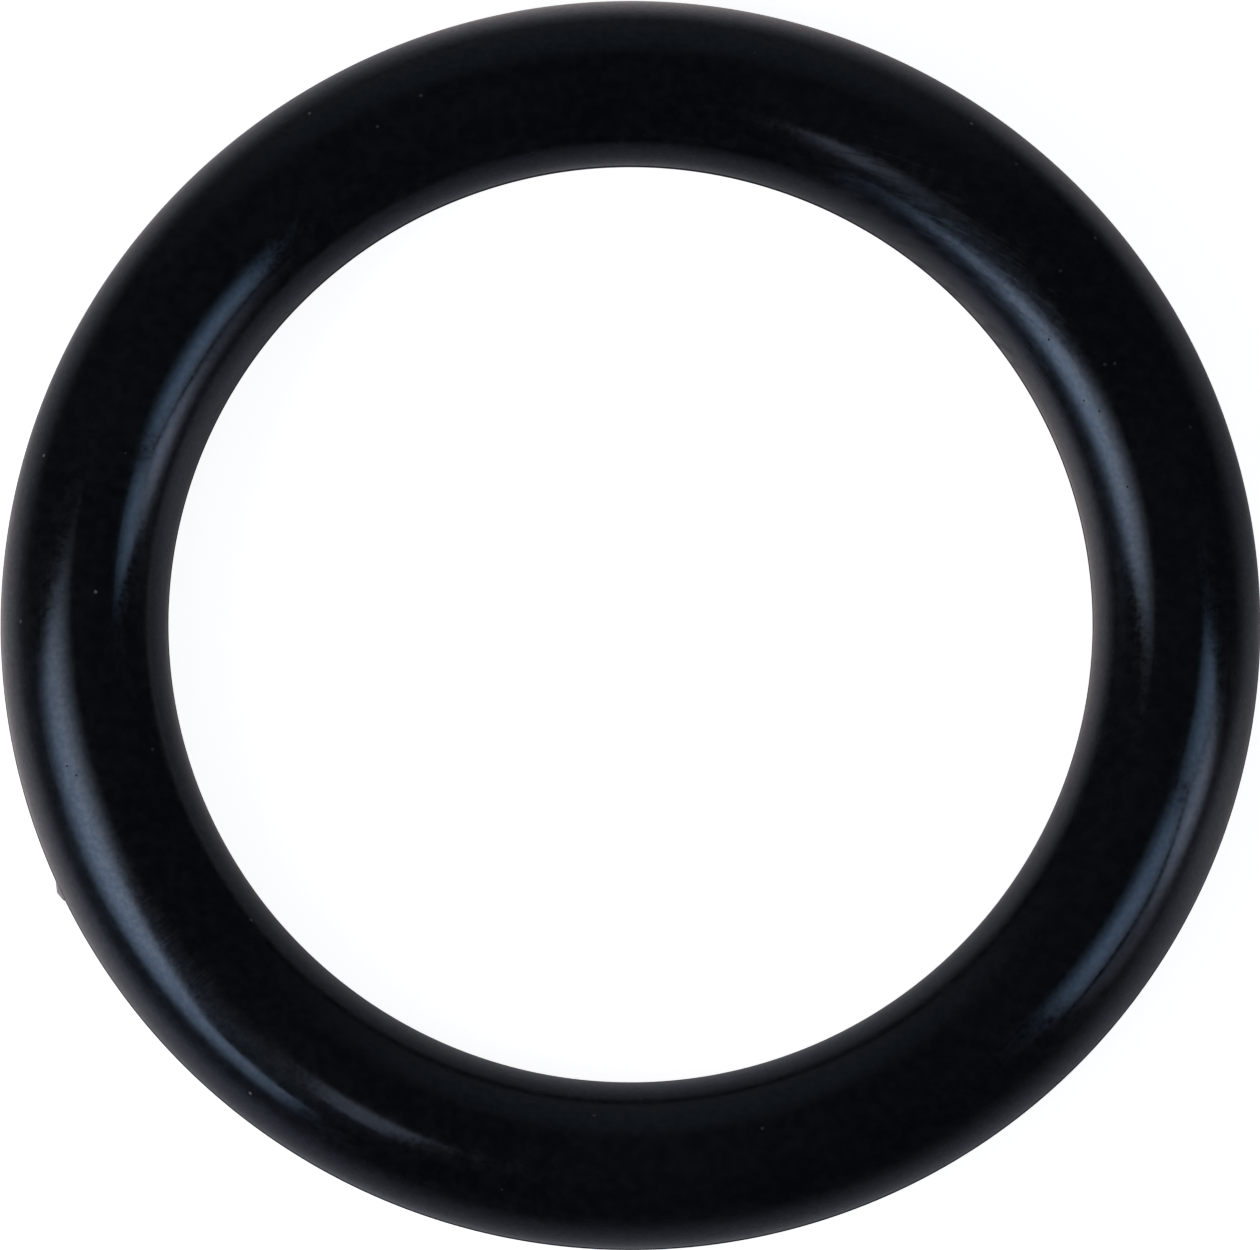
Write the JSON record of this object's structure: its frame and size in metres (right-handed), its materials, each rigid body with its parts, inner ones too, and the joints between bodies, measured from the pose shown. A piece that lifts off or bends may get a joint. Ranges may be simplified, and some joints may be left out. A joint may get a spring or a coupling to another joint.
{
  "type": "rubber o-ring",
  "caption": "Black rubber o-ring of round section, moulded in one piece, that seals a joint when squeezed in a groove.",
  "frame": {"origin": "centre of the ring, on its axis and in the parting plane half way up the section", "axes": "+Z along the ring's axis, out of the side that faces the viewer; +X to the viewer's right and +Y up as the picture shows the ring"},
  "size_m": [0.0402, 0.0402, 0.0054],
  "materials": {
    "black_rubber": "satin"
  },
  "bodies": {
    "root": {"o_ring": "black_rubber"}
  },
  "joints": []
}
